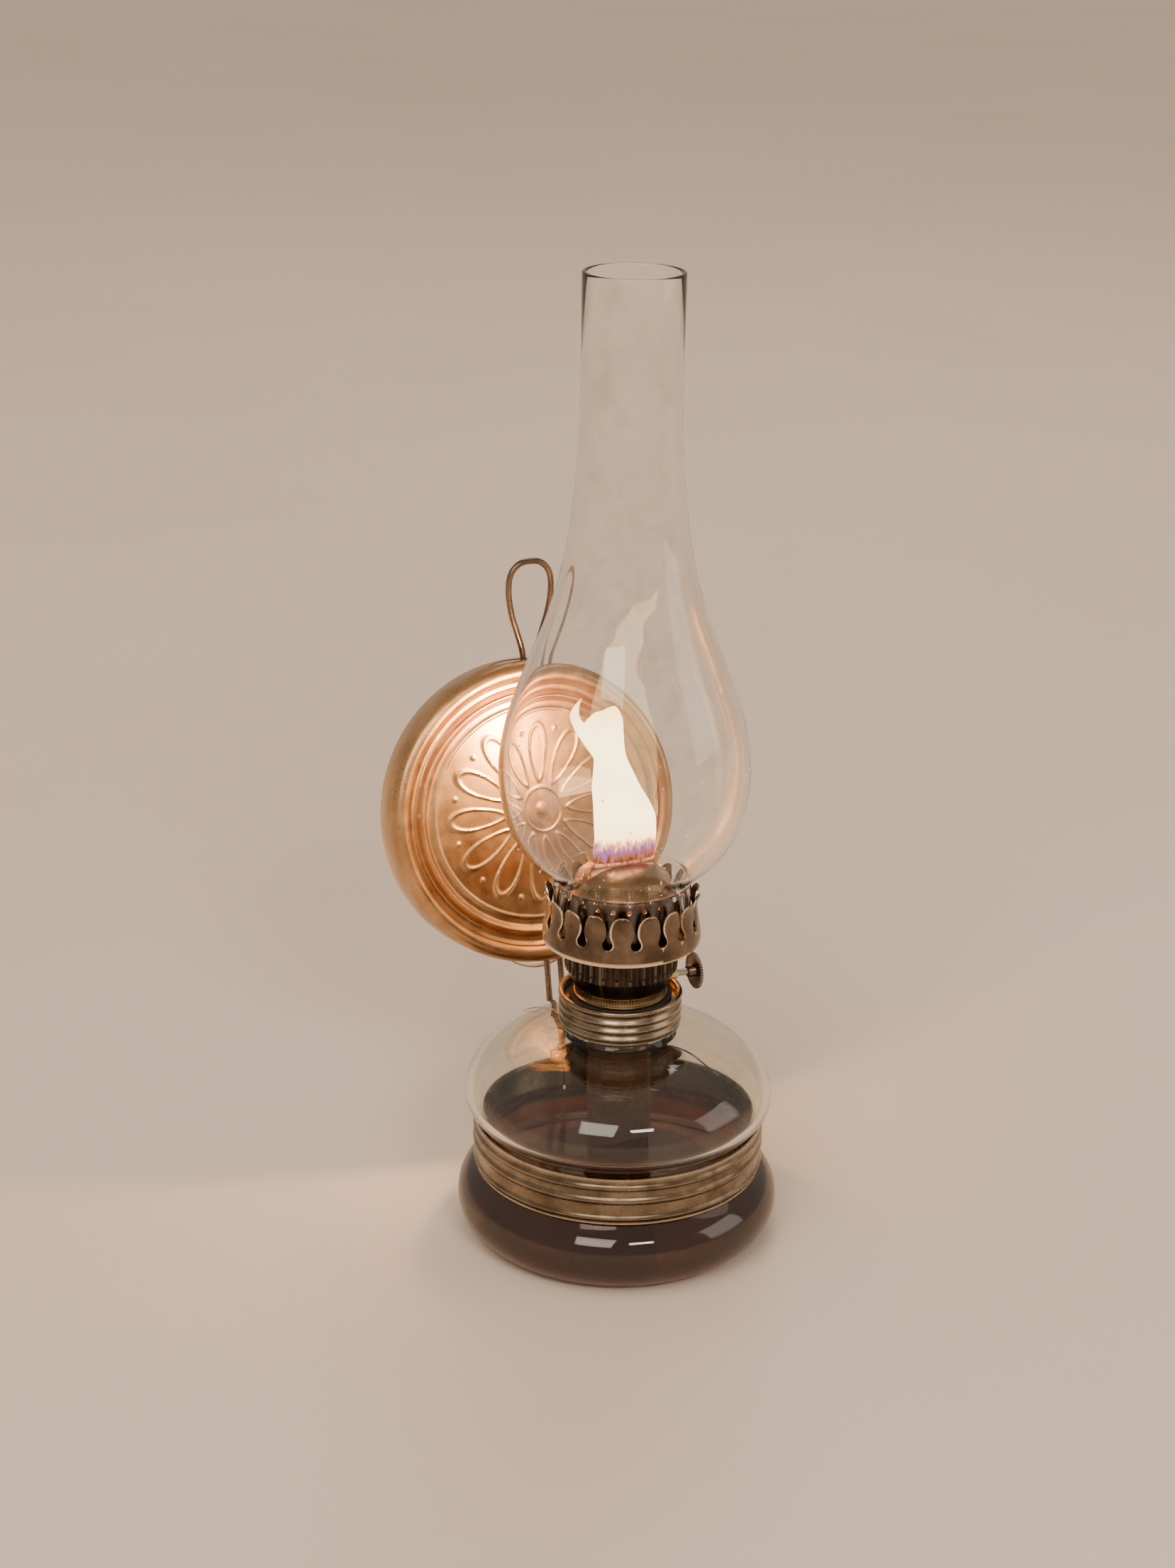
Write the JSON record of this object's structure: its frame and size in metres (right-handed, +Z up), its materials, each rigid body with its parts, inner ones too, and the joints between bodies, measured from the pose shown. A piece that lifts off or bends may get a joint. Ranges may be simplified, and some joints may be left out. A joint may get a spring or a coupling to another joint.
{
  "type": "oil lamp",
  "caption": "Wall-hung kerosene lamp with glass font, flat-wick burner, petal gallery, glass chimney, round tin reflector and wire hanging loop.",
  "frame": {"origin": "point on the inside of the wire hanging loop that bears on the wall screw", "axes": "+Z up along the lamp's upright axis, +Y towards the wall behind the reflector, +X towards the wick knob"},
  "size_m": [0.1142, 0.1461, 0.3325],
  "materials": {
    "font_glass": "clear, slightly yellowed pressed glass",
    "kerosene": "clear dark red-brown liquid",
    "collar_tin": "satin lacquered tin with worn bright ribs",
    "plaster": "matt cement",
    "gasket": "matt",
    "brass": "aged satin brass",
    "dark_tin": "smoke-darkened satin tin",
    "gallery_brass": "heat-darkened glossy brass with bright edges",
    "cotton": "woven cotton, charred at the top edge",
    "steel": "satin",
    "knob_tin": "satin, bright notched rim",
    "chimney_glass": "clear thin blown glass with a few specks",
    "band_tin": "satin lacquered tin with small rust specks",
    "wire": "glossy tinned wire",
    "reflector_tin": "satin gold-lacquered tin, embossed"
  },
  "bodies": {
    "lamp": {"font": "font_glass", "fuel": "kerosene", "neck_collar": "collar_tin", "collar_plaster": "plaster", "waist_band": "band_tin", "wire_saddle": "band_tin", "hanger_wire": "wire"},
    "reflector": {"reflector_pan": "reflector_tin"},
    "gasket": {"collar_gasket": "gasket"},
    "burner": {"burner_base": "brass", "burner_floor": "brass", "air_basket": "dark_tin", "spindle_bush": "brass", "gallery_crown": "gallery_brass", "gallery_floor": "gallery_brass", "wick_tube": "brass", "vent_tube": "brass"},
    "wick": {"wick": "cotton"},
    "winder": {"wick_spindle": "steel", "wick_wheel_left": "steel", "wick_wheel_right": "steel", "wick_knob": "knob_tin"},
    "dome": {"dome_cap": "gallery_brass"},
    "chimney": {"chimney": "chimney_glass"}
  },
  "joints": [
    {"name": "burner_rise", "type": "slide", "parent": "lamp", "child": "gasket", "axis": [0, 0, 1], "range_m": [0, 0.0081]},
    {"name": "burner_unscrew", "type": "hinge", "parent": "gasket", "child": "burner", "pos_m": [0, -0.0854, -0.13], "axis": [0, 0, 1], "range_deg": [0, 1440]},
    {"name": "knob_turn", "type": "hinge", "parent": "burner", "child": "winder", "pos_m": [0, -0.0904, -0.1223], "axis": [1, 0, 0], "range_deg": [-170, 70]},
    {"name": "wick_raise", "type": "slide", "parent": "burner", "child": "wick", "axis": [0, 0, 1], "range_m": [-0.0115, 0.0047]},
    {"name": "dome_lift", "type": "slide", "parent": "burner", "child": "dome", "axis": [0, 0, 1], "range_m": [0, 0.012]},
    {"name": "chimney_lift", "type": "slide", "parent": "burner", "child": "chimney", "axis": [0, 0, 1], "range_m": [0, 0.03]},
    {"name": "reflector_slide", "type": "slide", "parent": "lamp", "child": "reflector", "axis": [0, 0.225, 0.9744], "range_m": [-0.012, 0.002]}
  ],
  "couplings": [
    {"joint": "burner_rise", "follows": "burner_unscrew", "m_per_rad": 0.00031831},
    {"joint": "knob_turn", "follows": "wick_raise", "rad_per_m": 256.41}
  ]
}
